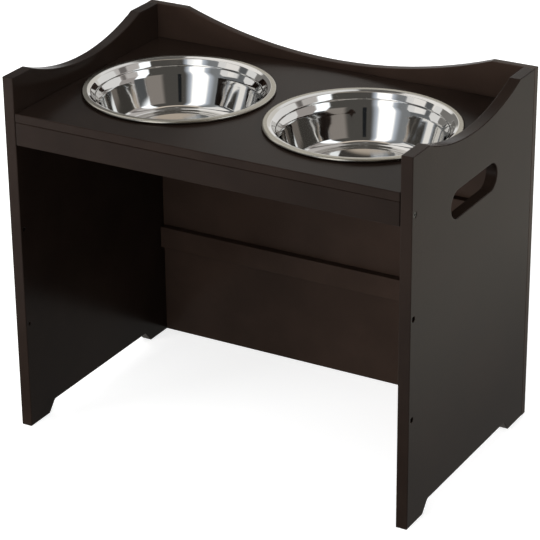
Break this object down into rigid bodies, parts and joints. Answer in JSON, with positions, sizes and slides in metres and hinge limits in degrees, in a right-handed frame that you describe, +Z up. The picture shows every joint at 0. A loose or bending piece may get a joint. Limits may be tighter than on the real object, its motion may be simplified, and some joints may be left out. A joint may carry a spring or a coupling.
{
  "type": "elevated dog feeder with storage",
  "caption": "Raised dog feeder: scalloped side and back boards with hand slots, a shelf bolted at a chosen height, lift-out round steel bowls and open storage space below.",
  "frame": {"origin": "centre of the footprint, on the floor that the feet and the back panel stand on", "axes": "+Z up; -Y to the open front; +X to the right seen from the front"},
  "size_m": [0.59, 0.362, 0.505],
  "materials": {
    "side_board": "dark espresso satin paint on fibreboard",
    "back_board": "dark espresso satin paint on fibreboard",
    "shelf_board": "dark espresso satin paint on fibreboard",
    "rail_board": "dark espresso satin paint on fibreboard",
    "bowl_steel": "mirror-polished stainless steel, satin rim",
    "bolt_steel": "zinc-plated",
    "screw_steel": "black phosphated",
    "dowel_wood": "bare beech"
  },
  "bodies": {
    "stand": {"left_side_panel": "side_board", "right_side_panel": "side_board", "back_panel": "back_board", "bowl_shelf": "shelf_board", "front_apron": "rail_board", "upper_rear_cleat": "rail_board", "middle_rear_cleat": "rail_board", "lower_rear_cleat": "rail_board", "left_apron_bolt": "bolt_steel", "right_apron_bolt": "bolt_steel", "left_barrel_nut": "bolt_steel", "right_barrel_nut": "bolt_steel", "apron_dowels": "dowel_wood", "left_back_screws": "screw_steel", "right_back_screws": "screw_steel", "upper_cleat_screws": "screw_steel", "middle_cleat_screws": "screw_steel", "lower_cleat_screws": "screw_steel"},
    "left_bowl": {"left_bowl": "bowl_steel"},
    "right_bowl": {"right_bowl": "bowl_steel"}
  },
  "joints": [
    {"name": "left_bowl_lift", "type": "slide", "parent": "stand", "child": "left_bowl", "axis": [0, 0, 1], "range_m": [0, 0.13]},
    {"name": "right_bowl_lift", "type": "slide", "parent": "stand", "child": "right_bowl", "axis": [0, 0, 1], "range_m": [0, 0.13]}
  ]
}
